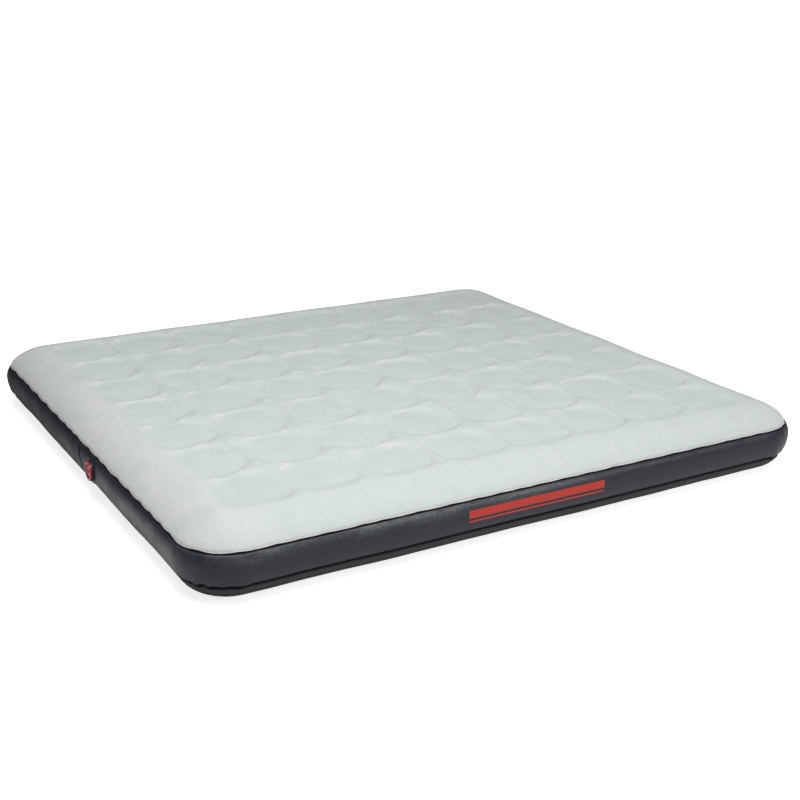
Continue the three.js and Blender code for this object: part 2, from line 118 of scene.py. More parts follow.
def middle(node):
    """Centre of a CAD node's box."""
    low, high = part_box(node)
    return (low + high) / 2


PITCH_X = (middle("coil_pair_row1_2").x - middle("coil_pair_row1_1").x) / 2
PITCH_Y = middle("coil_pair_row2_1").y - middle("coil_pair_row1_1").y
COIL_RADIUS = PITCH_X * 0.4035
COIL_X = (np.arange(COLUMNS) - (COLUMNS - 1) / 2) * PITCH_X
COIL_Y = (np.arange(ROWS) - (ROWS - 1) / 2) * PITCH_Y
print(f"bed {2 * HALF_LENGTH:.3f} x {2 * HALF_WIDTH:.3f} x {HEIGHT:.3f} m")
print(f"coils every {PITCH_X:.3f} and {PITCH_Y:.3f} m")


# %% The two halves of the side
class Half:
    """A quarter ellipse of the side: sign is +1 above the waist and -1 below."""

    def __init__(self, sign, round_in, rise):
        self.sign, self.round_in, self.rise = sign, round_in, rise

    def angle_at(self, level):
        """Angle from the waist at which the ellipse reaches a level: arcsine of the share of its rise."""
        return np.arcsin(np.clip(self.sign * (level - WAIST) / self.rise, 0, 1))

    def angle_in(self, inset):
        """Angle from the waist at which the ellipse is an inset in from the outline."""
        return np.arccos(np.clip(1 - inset / self.round_in, 0, 1))

    def section(self, angle, lift):
        """Inset and level at an angle, moved lift outwards along the normal, which leans out by rise times
        cosine and up by width times sine."""
        out = self.rise * np.cos(angle)
        up = self.round_in * np.sin(angle)
        share = lift / np.hypot(out, up)
        inset = self.round_in * (1 - np.cos(angle)) - out * share
        level = WAIST + self.sign * (self.rise * np.sin(angle) + up * share)
        return inset, level


UPPER = Half(1, 0.160, HEIGHT - WAIST)
LOWER = Half(-1, 0.087, WAIST)


# %% Distance round the bed
JOINT_Y = -0.020  # where the band's ends overlap, in the valve's end
ARC = CORNER_RADIUS * pi / 2
SIDE_RUNS = 2 * (np.array([HALF_LENGTH, HALF_WIDTH, HALF_LENGTH, HALF_WIDTH]) - CORNER_RADIUS)
QUARTER_STARTS = np.concatenate([[0], np.cumsum(SIDE_RUNS + ARC)])
ROUND_TRIP = QUARTER_STARTS[-1]
CORNER_X = np.array([-1, 1, 1, -1]) * (HALF_LENGTH - CORNER_RADIUS)
CORNER_Y = np.array([-1, -1, 1, 1]) * (HALF_WIDTH - CORNER_RADIUS)


def quarter_at(way):
    """Which quarter of the way round a place is in, and how far along it."""
    way = np.mod(way, ROUND_TRIP)
    quarter = np.searchsorted(QUARTER_STARTS, way, side="right") - 1
    return quarter, way - QUARTER_STARTS[quarter]


def outline(way):
    """Point and outward direction at a distance way round the waist, counter-clockwise from the first corner.

    Each quarter is an arc about a corner's centre and then a straight side. On the arc the outward
    direction turns with the distance; on the side it stays, and the point moves along its heading."""
    quarter, along = quarter_at(way)
    turn = pi + quarter * pi / 2 + np.minimum(along, ARC) / CORNER_RADIUS
    out_x, out_y = np.cos(turn), np.sin(turn)
    run = np.maximum(along - ARC, 0)
    x = CORNER_X[quarter] + CORNER_RADIUS * out_x - run * out_y
    y = CORNER_Y[quarter] + CORNER_RADIUS * out_y + run * out_x
    return x, y, out_x, out_y


def way_round(x, y, out_x, out_y):
    """The distance round the waist of a point on the outline, the inverse of outline()."""
    turn = np.mod(np.arctan2(out_y, out_x) - pi, 2 * pi)
    turn = np.where(turn < 1e-6, 2 * pi, turn)
    quarter = np.clip(np.ceil(turn / (pi / 2) - 1e-6).astype(int) - 1, 0, 3)
    arc_x = CORNER_X[quarter] + CORNER_RADIUS * out_x
    arc_y = CORNER_Y[quarter] + CORNER_RADIUS * out_y
    run = (x - arc_x) * -out_y + (y - arc_y) * out_x
    return QUARTER_STARTS[quarter] + CORNER_RADIUS * (turn - quarter * pi / 2) + run


JOINT_WAY = way_round(
    np.array([-HALF_LENGTH]), np.array([JOINT_Y]), np.array([-1.0]), np.array([0.0])
)[0]
print(f"round the waist {ROUND_TRIP:.3f} m, band joint at {JOINT_WAY:.3f} m")

# %% [markdown]
# ## What makes it look inflated
# A real bag is never as even as its formula. The film is gathered a little along every weld, so the edge of
# the flocked sheet runs in short lobes with a small crease at each notch, the corners show pleats, and long
# faint waves cross the sides. All of these are small movements along the skin's normal, so they are written
# as functions of the distance round the bed and the level, and every sheet adds the same ones.

# %% Smooth noise
SEED = 7


def waves(points, wavelength, count=28, seed=0):
    """Smooth noise, from about -1 to 1: the sum of many plane waves with random directions and phases, and
    wavelengths within a third of the one asked for. points holds one column for each coordinate."""
    draw = np.random.default_rng(SEED + seed)
    direction = draw.normal(size=(count, points.shape[-1]))
    direction /= np.linalg.norm(direction, axis=1, keepdims=True)
    number = 2 * pi / (wavelength * draw.uniform(0.75, 1.35, count))
    phase = draw.uniform(0, 2 * pi, count)
    total = np.zeros(points.shape[:-1])
    for k in range(count):
        total += np.sin(points @ (direction[k] * number[k]) + phase[k])
    return total / sqrt(count / 2) / 1.6


def bump(distance, width):
    """A bell: 1 at distance 0, fading over about a width."""
    return np.exp(-((distance / width) ** 2))


def ease(value, start, end):
    """0 before start, 1 after end and a smooth step between."""
    t = np.clip((value - start) / (end - start), 0, 1)
    return t * t * (3 - 2 * t)


# %% Notches in the top weld
LOBE_LENGTHS = (0.045, 0.120)  # shortest and longest way from notch to notch
USUAL_LOBE = 0.08
LOBE_DEPTH = 0.0012  # and twice this in the valve's end


def notch_ways():
    """Distances round the bed at which the edge of the flocked sheet has a notch."""
    draw = np.random.default_rng(SEED)
    steps = draw.uniform(*LOBE_LENGTHS, 200)
    ways = np.cumsum(steps)
    ways = ways[ways < ROUND_TRIP]
    return ways * (ROUND_TRIP / (ways[-1] + steps[len(ways)]))


NOTCHES = notch_ways()


def near_notch(way):
    """Signed distance to the nearest notch, and the length of the lobe that the point is in."""
    way = np.mod(way, ROUND_TRIP)
    marks = np.concatenate([[NOTCHES[-1] - ROUND_TRIP], NOTCHES, [NOTCHES[0] + ROUND_TRIP]])
    after = np.searchsorted(marks, way, side="right")
    before, after = marks[after - 1], marks[after]
    distance = np.where(way - before < after - way, way - before, way - after)
    return distance, after - before


def end_share(way):
    """1 in the valve's end, where the film is gathered most, and fading to 0 round its corners."""
    return ease(-outline(way)[0], HALF_LENGTH - 0.12, HALF_LENGTH - 0.02)


def lobes(way):
    """How far the flocked sheet's edge hangs below its seam level: a shallow arch from notch to notch."""
    distance, length = near_notch(way)
    share = 1 - (1 - 2 * np.abs(distance) / length) ** 2
    depth = LOBE_DEPTH + LOBE_DEPTH * end_share(way)
    return depth * (share - 0.5) * np.clip(length / USUAL_LOBE, 0.5, 1.3)


print(len(NOTCHES), "notches in the top weld")


# %% Creases and waves along the sides
BASE_GROOVE, BASE_GROOVE_WIDTH = 0.0110, 0.0040  # the fold at the base weld
BASE_HOLLOW, BASE_HOLLOW_WIDTH = 0.002, 0.013  # the shallow hollow round it
TOP_GROOVE, TOP_GROOVE_WIDTH = 0.0034, 0.0040
CREASE, CREASE_WIDTH, CREASE_REACH = 0.0010, 0.010, 0.013  # at a notch, across it and away from the weld
BASE_PLEAT, BASE_PLEAT_REACH = 0.0030, 0.018  # in the corners
TOP_PLEAT, TOP_PLEAT_REACH = 0.0010, 0.030
SLOW_WAVE, QUICK_WAVE = 0.0011, 0.0003


def corner_share(way):
    """1 in the middle of a corner, fading to 0 where the straight sides start."""
    _, along = quarter_at(way)
    return ease(along, -0.04, 0.05) * (1 - ease(along, ARC - 0.05, ARC + 0.04))


def swell(way, level):
    """How far the skin stands out from its formula at a place on the side.

    Grooves at both welds, a crease at every notch, pleats in the corners and two sizes of slow wave."""
    x, y, _, _ = outline(way)
    place = np.stack([x, y, 0.6 * level], axis=-1)
    base_gap = np.abs(level - BASE_SEAM)
    base_groove = BASE_GROOVE * bump(np.maximum(base_gap - 0.0010, 0), BASE_GROOVE_WIDTH)
    base_groove += BASE_HOLLOW * bump(base_gap, BASE_HOLLOW_WIDTH)
    top_groove = TOP_GROOVE * bump(level - TOP_SEAM + 0.0015, TOP_GROOVE_WIDTH)
    distance, length = near_notch(way)
    crease = (CREASE + 0.3 * CREASE * end_share(way)) * np.clip(length / USUAL_LOBE, 0.5, 1.2)
    crease *= bump(distance, CREASE_WIDTH) * bump(level - TOP_SEAM, CREASE_REACH)
    corner = corner_share(way)
    fold = waves(np.stack([x, y, 0.15 * level], axis=-1), 0.030, seed=3)
    pleats = BASE_PLEAT * corner * fold * bump(level - BASE_SEAM, BASE_PLEAT_REACH)
    pleats += TOP_PLEAT * corner * fold * bump(level - TOP_SEAM, TOP_PLEAT_REACH)
    slow = SLOW_WAVE * waves(place, 0.34, seed=1) + QUICK_WAVE * waves(place, 0.12, seed=2)
    return slow + pleats - base_groove - top_groove - crease


def shade(level):
    """1 deep in the folds at the two welds, where the colour is darkened as painted shade, and 0 away from
    them.
    """
    return np.maximum(bump(level - BASE_SEAM, 0.0060), 0.95 * bump(level - TOP_SEAM + 0.0022, 0.0030))


base_fold = BASE_GROOVE + BASE_HOLLOW
print(f"folds {1000 * base_fold:.1f} mm deep at the base weld and {1000 * TOP_GROOVE:.1f} mm at the top")

# %% [markdown]
# ## From arrays to a mesh
# Every sheet is worked out as a grid of points, so one helper turns grids into a closed mesh. The outer face
# gets the fine grid that the eye needs. The inner face is never seen, so it takes every second point each
# way, which saves a third of the weight; along the rim each of its steps meets two of the outer one.

# %% Mesh helpers
def build(name, points, faces, material):
    """A smooth mesh object from points and a list of face arrays, each with one row of corners per face."""
    mesh = bpy.data.meshes.new(name)
    mesh.vertices.add(len(points))
    mesh.vertices.foreach_set("co", np.asarray(points, np.float32).ravel())
    corners = np.concatenate([f.ravel() for f in faces]).astype(np.int32)
    sizes = np.concatenate([np.full(len(f), f.shape[1]) for f in faces]).astype(np.int32)
    mesh.loops.add(len(corners))
    mesh.loops.foreach_set("vertex_index", corners)
    mesh.polygons.add(len(sizes))
    mesh.polygons.foreach_set("loop_start", (np.cumsum(sizes) - sizes).astype(np.int32))
    mesh.update(calc_edges=True)
    mesh.validate()
    mesh.shade_smooth()
    mesh.set_sharp_from_angle(angle=radians(48))
    mesh.materials.append(material)
    return in_scene(name, mesh)


def note(piece, name, values):
    """Stores one number for each point of a piece, for its material to read."""
    attribute = piece.data.attributes.new(name, "FLOAT", "POINT")
    attribute.data.foreach_set("value", np.asarray(values, np.float32).ravel())


def quads(index):
    """Quads between the neighbours of a 2-D array of point numbers."""
    corners = (index[:-1, :-1], index[1:, :-1], index[1:, 1:], index[:-1, 1:])
    return np.stack(corners, axis=-1).reshape(-1, 4)


def border(index):
    """The point numbers round the edge of a 2-D array, once each, in order."""
    return np.concatenate([index[:-1, 0], index[-1, :-1], index[:0:-1, -1], index[0, :0:-1]])


def shell_faces(outer, inner):
    """Faces of a closed sheet: the fine outer grid, the coarse inner grid turned over, and a rim of
    five-cornered faces in which one inner step meets two outer ones."""
    rim, inside = border(outer), border(inner)
    start, half_way, end = rim[::2], rim[1::2], np.roll(rim, -2)[::2]
    edge = np.stack([start, inside, np.roll(inside, -1), end, half_way], axis=-1)
    return [quads(outer), quads(inner)[:, ::-1], edge]


# %% [markdown]
# ## The flocked top sheet
# The flocked sheet is one flat cut of vinyl with short velvet fibres glued on. Pressure lifts it and each
# coil holds it down, so it shows flat-floored round dimples with soft ridges between them, highest where
# four coils meet. It could be sculpted, but a formula gives every dimple the same honest cause: the sheet's
# depth depends on the distance from the nearest coil weld. A square grid is bent so that its outer lines
# follow the rounded outline, which keeps the faces even right up to the weld.

# %% Grid of a flat sheet
def edge_insets(half, edge_level, spacing, fine_reach, fine_spacing):
    """Insets of the rings between a sheet's edge and where it lies flat, evenly spaced along the curve, with
    closer ones over the first stretch, where the weld's folds are."""
    angles = np.linspace(half.angle_at(edge_level), pi / 2, 400)
    inset, level = half.section(angles, 0)
    length = np.concatenate([[0], np.cumsum(np.hypot(np.diff(inset), np.diff(level)))])
    fine = np.linspace(0, fine_reach, int(round(fine_reach / fine_spacing)) + 1)[:-1]
    rings = int(round((length[-1] - fine_reach) / spacing))
    places = np.concatenate([fine, np.linspace(fine_reach, length[-1], rings + 1)])
    return np.interp(places, length, inset)


def grid_lines(half_size, insets, spacing):
    """Grid coordinates along one direction: the insets from each end, and even steps between them."""
    flat = half_size - insets[-1]
    steps = 2 * int(round(flat / spacing))
    inner = np.linspace(-flat, flat, steps + 1)[1:-1]
    left = insets - half_size
    return np.concatenate([left, inner, -left[::-1]])


CORNER_STRETCH = 1.5  # corner radii of straight side that give up points to the corner


def round_corners(x, y):
    """Bends a plain grid onto rounded outlines, each point keeping its inset.

    A point's place along its side is squeezed a little over the last stretch, and what passes the end of
    the straight turns into an angle round the corner. Gives x, y, the outward direction and the inset."""
    inset = np.minimum(HALF_LENGTH - np.abs(x), HALF_WIDTH - np.abs(y))
    long_side = HALF_WIDTH - np.abs(y) <= HALF_LENGTH - np.abs(x)
    along = np.where(long_side, np.abs(x), np.abs(y))
    reach = np.where(long_side, HALF_LENGTH, HALF_WIDTH) - inset
    across = np.where(long_side, HALF_WIDTH, HALF_LENGTH) - inset
    radius = np.maximum(CORNER_RADIUS - inset, 0)
    squeeze_from = reach - CORNER_STRETCH * radius
    squeeze = (CORNER_STRETCH - 1 + pi / 4) / CORNER_STRETCH
    along = np.where(along > squeeze_from, squeeze_from + (along - squeeze_from) * squeeze, along)
    turn = np.maximum(along - (reach - radius), 0) / np.maximum(radius, 1e-9)
    along = np.minimum(along, reach - radius) + radius * np.sin(turn)
    across = across - radius * (1 - np.cos(turn))
    sign_x, sign_y = np.sign(x), np.sign(y)
    return (
        np.where(long_side, along, across) * sign_x,
        np.where(long_side, across, along) * sign_y,
        np.where(long_side, np.sin(turn), np.cos(turn)) * sign_x,
        np.where(long_side, np.cos(turn), np.sin(turn)) * sign_y,
        inset,
    )


# %% Relief over the coils
WELD_RADIUS = COIL_RADIUS * 1.16
WELD_STRETCH = 1.05  # a dimple's length across the bed over its length along it
SQUARENESS = 2.3  # 2 is a round dimple, and more is squarer
RIDGE_RISE = 0.0115  # how far the sheet's highest ridges stand above the coil welds
RIDGE_REACH = 0.011  # distance from a weld over which a ridge rises
CREST_BLEND = 0.0035  # roundness of a ridge's crest, between two coils
WELD_BLEND = 0.0050  # roundness of the fold at a weld
DOME = 0.0028  # how far the sheet domes up inside a coil
LIP_PLACE, LIP_WIDTH = 0.0070, 0.0040  # where the raised lip runs round a dimple, along which a sheen is painted into the flock's colour; half its width
WELD_WANDER = 0.0045  # how far a dimple's edge strays from its curve
WELD_SHIFT = 0.0040  # how far a coil's weld is out of its place


def coil_distances(x, y):
    """Distance outside each coil's weld, negative inside it, one layer for each coil. The welds are drawn a
    little out of true, by a seeded shift."""
    layers = []
    for coil_x in COIL_X:
        for coil_y in COIL_Y:
            key = int(round((coil_x / PITCH_X + 50) * 1000 + (coil_y / PITCH_Y + 50)))
            dx, dy = np.random.default_rng(SEED + key).normal(0, WELD_SHIFT, 2)
            across, along = np.abs(x - coil_x - dx), np.abs(y - coil_y - dy) / WELD_STRETCH
            layers.append((across**SQUARENESS + along**SQUARENESS) ** (1 / SQUARENESS) - WELD_RADIUS)
    return np.stack(layers)


def relief(x, y):
    """Depth of the sheet below its highest ridges, and 1 on the lip round a dimple fading to 0 off it.

    The distance from the nearest weld is a soft minimum over the coils: minus the blend times the logarithm
    of the sum of exponentials. The lip is strongest along the rows, because the sheet is stretched along
    the bed when it is welded and is slack across it."""
    place = np.stack([x, y], axis=-1)
    distances = coil_distances(x, y)
    distance = -CREST_BLEND * np.log(np.exp(-np.minimum(distances, 0.25) / CREST_BLEND).sum(axis=0))
    distance += WELD_WANDER * waves(place, 0.13, seed=5)
    outside = WELD_BLEND * np.logaddexp(0, distance / WELD_BLEND)
    inside = np.clip(1 + distance / WELD_RADIUS, 0, 1)
    depth = RIDGE_RISE * np.exp(-outside / RIDGE_REACH) - DOME * (1 - inside**2)
    rim = bump(distance - LIP_PLACE + 0.0035 * waves(place, 0.05, seed=8), LIP_WIDTH)
    rim = rim * ease(waves(place, 0.085, seed=9), -1.1, 0.6)
    cell_x = np.abs(x / PITCH_X - np.round(x / PITCH_X - 0.5) - 0.5)
    cell_y = np.abs(y / PITCH_Y - np.round(y / PITCH_Y))
    facing = 0.30 + 0.70 * ease(cell_y - cell_x, -0.14, 0.08)
    depth -= rim * facing * (0.0010 + 0.0009 * waves(place, 0.06, seed=6))
    slack = ease(distance, 0.002, 0.030)
    depth += (0.0003 + 0.0010 * slack) * waves(place, 0.040, seed=7) + 0.0009 * waves(place, 0.11, seed=4)
    return depth, rim * facing


# %% A dimpled sheet
ON_FLOOR = 0.0002  # the lower sheet is pressed flat at this level
LOBE_FADE = 0.020  # how fast the edge's lobes fade into the sheet


def dished_sheet(name, half, edge_level, lift, thickness, spacing, fine, material, hang):
    """A closed sheet that follows the side from its edge to the flat and is drawn in over the coils.

    Each point slides down the side by the edge's lobes, stands out by its lift and the side's own
    unevenness, and drops by the relief, which fades in where the side flattens."""
    insets = edge_insets(half, edge_level, spacing, *fine)
    grid_x, grid_y = np.meshgrid(
        grid_lines(HALF_LENGTH, insets, spacing), grid_lines(HALF_WIDTH, insets, spacing), indexing="ij"
    )
    x, y, out_x, out_y, inset = round_corners(grid_x, grid_y)
    way = way_round(x + inset * out_x, y + inset * out_y, out_x, out_y)
    angle = half.angle_in(inset)
    steep = half.rise * np.cos(half.angle_at(edge_level))
    slide = hang(way) * np.exp(-(inset - insets[0]) / LOBE_FADE) / steep
    angle = angle - slide * (1 - ease(inset, 0.05, 0.10))
    _, level = half.section(angle, 0)
    side = 1 - ease(inset, 0.7 * half.round_in, 1.15 * half.round_in)
    depth, ridge = relief(x, y)
    inner = (slice(None, None, 2), slice(None, None, 2))
    faces = []
    for below, pick in ((0, (slice(None), slice(None))), (thickness, inner)):
        own = lift - below + side * swell(way, level)
        new_inset, new_level = half.section(angle, own)
        move = np.minimum(inset, half.round_in) - new_inset
        z = new_level - half.sign * (1 - side) * depth
        if half.sign < 0:
            z = np.maximum(z, ON_FLOOR + below)
        faces.append(np.stack([x + move * out_x, y + move * out_y, z], axis=-1)[pick])
    numbers = [np.arange(f[..., 0].size).reshape(f.shape[:2]) for f in faces]
    numbers[1] += numbers[0].size
    points = np.concatenate([f.reshape(-1, 3) for f in faces])
    made = shell_faces(*numbers)
    if half.sign < 0:
        made = [f[:, ::-1] for f in made]
    piece = build(name, points, made, material)
    # ridge marks where the flock's painted crest sheen goes
    marks = {"ridge": ridge * (1 - side), "side": side, "edge": inset - insets[0], "fold": shade(level)}
    # fold marks where the vinyl's colour is darkened as painted shade
    for label, values in marks.items():
        note(piece, label, np.concatenate([values.ravel(), values[inner].ravel()]))
    print(name, len(points), "points", sum(len(f) for f in made), "faces")
    return piece


# %% [markdown]
# ## Finishes
# Flock is a forest of fibres half a millimetre tall: it scatters light softly, brightens at grazing angles
# and shows cloudy patches where a hand has brushed it. That is a very rough base with sheen and a fine
# grain. The vinyls are the opposite: dark, smooth and a little oily, so their shape is read from
# reflections, broken up by an embossed grain. Every material reads Object coordinates or a value stored
# on the piece, so nothing slides when the bed is exported.


# %% Node helpers
def node_adder(tree):
    """A function that adds a node to a tree, makes its settings and links or sets its inputs."""

    def add(kind, inputs=None, **settings):
        node = tree.nodes.new("ShaderNode" + kind)
        for key, value in settings.items():
            setattr(node, key, value)
        for key, value in (inputs or {}).items():
            join(value, node.inputs[key])
        return node

    return add


def join(value, socket):
    """Links a node's output to a socket, or sets the socket to a plain value."""
    if isinstance(value, bpy.types.NodeSocket):
        socket.id_data.links.new(value, socket)
    else:
        socket.default_value = value


def new_material(name):
    """A material with its shader and a function that adds nodes to it."""
    material = bpy.data.materials.new(name)
    material.use_nodes = True
    tree = material.node_tree
    return material, tree.nodes["Principled BSDF"], node_adder(tree)


def finish_shader(shader, **values):
    """Joins values to the shader's sockets, named with _ for a space."""
    for name, value in values.items():
        join(value, shader.inputs[name.replace("_", " ")])


def stretched(add, scale=(1, 1, 1)):
    """Object coordinates multiplied by a scale for each axis."""
    place = add("TexCoord").outputs["Object"]
    return add("Mapping", {"Vector": place, "Scale": scale}).outputs["Vector"]


def noise(add, place, scale, detail=3.0, roughness=0.5):
    """Noise from 0 to 1 at a number of features to the metre."""
    inputs = {"Vector": place, "Scale": scale, "Detail": detail, "Roughness": roughness}
    return add("TexNoise", inputs).outputs["Fac"]


def ramp(add, value, low, high, to_low=0.0, to_high=1.0):
    """Maps low..high of a value to to_low..to_high, smoothly and without passing either."""
    inputs = {"Value": value, "From Min": low, "From Max": high, "To Min": to_low, "To Max": to_high}
    node = add("MapRange", inputs, interpolation_type="SMOOTHSTEP")
    return node.outputs["Result"]


def mixed(add, share, first, second):
    """A colour between two, by a share."""
    node = add("Mix", {0: share, 6: first, 7: second}, data_type="RGBA")
    return node.outputs[2]


def maths(add, operation, first, second=0.0):
    """One arithmetic step between two values."""
    return add("Math", {0: first, 1: second}, operation=operation).outputs[0]


def times(add, *values):
    """The product of all the values."""
    product = values[0]
    for value in values[1:]:
        product = maths(add, "MULTIPLY", product, value)
    return product


def attribute(add, name):
    """A number stored on the piece by note()."""
    return add("Attribute", attribute_name=name).outputs["Fac"]


def bumped(add, height, strength, distance, under=None):
    """A normal tilted by a height, laid over another one if given."""
    inputs = {"Height": height, "Strength": strength, "Distance": distance}
    if under:
        inputs["Normal"] = under
    return add("Bump", inputs).outputs["Normal"]


# %% Flock
FLOCK_COOL = (0.480, 0.530, 0.526, 1)
# pinkish tint: painted as a sheen along the crests, and mixed in as mottle on the margin
FLOCK_WARM = (0.610, 0.580, 0.560, 1)
FLOCK_BRUSHED = (0.435, 0.480, 0.478, 1)
# pale fibre flecks, and a highlight painted along the welded edge
FLOCK_FLECKS_AND_EDGE_HIGHLIGHT = (0.74, 0.71, 0.70, 1)


def flock():
    """Velvet: cool in the dimples, with a pinkish sheen painted along the crests, cloudy where brushed, and a
    pale highlight painted along the welded edge."""
    material, shader, add = new_material("flock")
    place = stretched(add)
    ridge = attribute(add, "ridge")
    x = add("SeparateXYZ", {"Vector": place}).outputs["X"]
    strokes = noise(add, stretched(add, (0.45, 1.6, 1)), 42.0, detail=4.0, roughness=0.6)
    # painted sheen: the crests are tinted pinkish, most along the lip round each dimple
    crest_sheen = times(add, ridge, 1.2, ramp(add, strokes, 0.36, 0.58, 0.15, 1.0))
    base = mixed(add, crest_sheen, FLOCK_COOL, FLOCK_WARM)
    clouds = noise(add, place, 11.0, detail=5.0, roughness=0.6)
    flecks = noise(add, place, 70.0, detail=6.0, roughness=0.75)
    mottle = times(add, ramp(add, clouds, 0.35, 0.6, 0.15, 0.6), ramp(add, flecks, 0.35, 0.65, 0.3))
    margin = times(add, attribute(add, "side"), mottle, ramp(add, x, -0.92, -0.72, 1.0, 0.2))
    base = mixed(add, margin, base, FLOCK_WARM)
    brushed = noise(add, stretched(add, (1, 0.4, 1)), 17.0, detail=4.0)
    base = mixed(add, ramp(add, brushed, 0.45, 0.75, 0.0, 0.45), base, FLOCK_BRUSHED)
    fibres = noise(add, place, 1400.0, detail=2.0)
    base = mixed(add, ramp(add, fibres, 0.3, 0.75, 0.0, 0.14), base, FLOCK_FLECKS_AND_EDGE_HIGHLIGHT)
    # painted highlight: a pale line along the welded edge of the sheet
    base = mixed(add, ramp(add, attribute(add, "edge"), 0.0008, 0.0022, 0.9, 0.0), base, FLOCK_FLECKS_AND_EDGE_HIGHLIGHT)
    crumple = noise(add, place, 48.0, detail=5.0, roughness=0.62)
    wrinkles = times(add, crumple, maths(add, "ADD", times(add, ridge, 0.6), 0.5))
    soft = bumped(add, wrinkles, 0.8, 0.0065)
    finish_shader(
        shader,
        Base_Color=base,
        Roughness=0.95,
        Specular_IOR_Level=0.2,
        Sheen_Weight=0.25,
        Sheen_Roughness=0.45,
        Sheen_Tint=(0.93, 0.98, 1.0, 1),
        Normal=bumped(add, fibres, 0.4, 0.0004, soft),
    )
    return material


# %% [markdown]
# ## Printed stripes
# Two plain stripes are printed on the front of the band. A picture wrapped round the film could carry them,
# but ranges of level and length, read from Object coordinates, give sharp edges and need no unwrapping.

# %% Stripes
STRIPE_INK = (0.52, 0.037, 0.022, 1)
STRIPE_CENTRE = -0.019
STRIPE_HALF = 0.222
STRIPES = ((0.096, 0.118), (0.084, 0.089))  # lower and upper edge of each


def stripes(add, place):
    """1 on two plain stripes printed on the front of the band, else 0, with slightly worn ink."""
    x, y, z = add("SeparateXYZ", {"Vector": place}).outputs
    aside = maths(add, "ABSOLUTE", maths(add, "SUBTRACT", x, STRIPE_CENTRE))
    along = ramp(add, aside, STRIPE_HALF - 0.0004, STRIPE_HALF + 0.0004, 1.0, 0.0)
    front = maths(add, "LESS_THAN", y, -0.5)
    total = 0.0
    for low, high in STRIPES:
        off = maths(add, "ABSOLUTE", maths(add, "SUBTRACT", z, (low + high) / 2))
        half = (high - low) / 2
        total = maths(add, "ADD", ramp(add, off, half - 0.0003, half + 0.0003, 1.0, 0.0), total)
    worn = ramp(add, noise(add, place, 260.0, detail=5.0), 0.30, 0.42, 0.75, 0.97)
    return times(add, total, worn, along, front)


# %% Vinyl
PAINTED_REFLECTION_GREY = (0.120, 0.130, 0.134, 1)
PAINTED_FOLD_SHADE = (0.002, 0.002, 0.002, 1)


def upper_band_reflection(add, place):
    """1 on the upper front of the band near the valve's end, where a lamp's reflection is painted in, else 0.
    """
    x, y, z = add("SeparateXYZ", {"Vector": place}).outputs
    upper = times(add, ramp(add, z, 0.100, 0.142), ramp(add, z, 0.1545, 0.150))
    along = times(add, ramp(add, x, -0.25, 0.35, 1.0, 0.25), ramp(add, x, -0.98, -0.80, 0.25, 1.0))
    drawn = stretched(add, (0.5, 1, 1))
    stipple = ramp(add, noise(add, drawn, 200.0, detail=5.0, roughness=0.7), 0.35, 0.68, 0.4)
    patches = ramp(add, noise(add, drawn, 20.0, detail=3.0), 0.35, 0.6, 0.35)
    return times(add, upper, along, ramp(add, y, -0.70, -0.80), stipple, patches)


def vinyl(name, colour, worn, roughness, grain_size, grain_depth, is_band=False):
    """Embossed film: a fine grain, cloudy gloss, and a slightly paler colour where it has been rubbed."""
    material, shader, add = new_material(name)
    place = stretched(add)
    clouds = noise(add, place, 14.0, detail=4.0, roughness=0.65)
    scuffs = noise(add, stretched(add, (1, 1, 2.5)), 38.0, detail=6.0, roughness=0.7)
    rubbed = times(add, ramp(add, scuffs, 0.52, 0.72), ramp(add, clouds, 0.4, 0.65, 0.1, 0.6))
    base = mixed(add, rubbed, colour, worn)
    if is_band:
        # painted reflection: the upper front of the band is made paler and mottled
        base = mixed(add, upper_band_reflection(add, place), base, PAINTED_REFLECTION_GREY)
        base = mixed(add, stripes(add, place), base, STRIPE_INK)
    fold = attribute(add, "fold")
    # painted shade: the colour goes to black deep in the folds at the welds
    base = mixed(add, ramp(add, fold, 0.15, 0.75), base, PAINTED_FOLD_SHADE)
    gloss = maths(add, "ADD", ramp(add, clouds, 0.3, 0.7, roughness - 0.05, roughness + 0.07), fold)
    cells = add("TexVoronoi", {"Vector": place, "Scale": 1 / grain_size}).outputs["Distance"]
    leather = bumped(add, cells, 0.5, grain_depth)
    crumple = noise(add, place, 30.0, detail=6.0, roughness=0.62)
    finish_shader(
        shader,
        Base_Color=base,
        Roughness=gloss,
        Specular_IOR_Level=0.28,
        Normal=bumped(add, crumple, 0.25, 0.0022, leather),
    )
    return material


FLOCK = flock()
BAND = vinyl(
    "band_vinyl", (0.020, 0.022, 0.033, 1), (0.036, 0.038, 0.048, 1), 0.36, 0.0016, 0.00018, True
)
BASE = vinyl("base_vinyl", (0.040, 0.041, 0.046, 1), (0.065, 0.065, 0.07, 1), 0.46, 0.0022, 0.00015)
print("materials:", len(bpy.data.materials))

# %% Top sheet and bottom sheet
BASE_TUCK = 0.008  # how far the base sheet goes up inside the band
top_sheet = dished_sheet(
    "flocked_sheet",
    UPPER,
    edge_level=TOP_SEAM,
    lift=0.0013,
    thickness=0.0009,
    spacing=0.0076,
    fine=(0.012, 0.003),
    material=FLOCK,
    hang=lobes,
)
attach(top_sheet, "root")
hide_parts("top_sheet")
bottom_sheet = dished_sheet(
    "base_sheet",
    LOWER,
    edge_level=BASE_SEAM + BASE_TUCK,
    lift=-0.0011,
    thickness=0.0006,
    spacing=0.0105,
    fine=(0.026, 0.0016),
    material=BASE,
    hang=np.zeros_like,
)
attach(bottom_sheet, "root")
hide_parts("bottom_sheet")

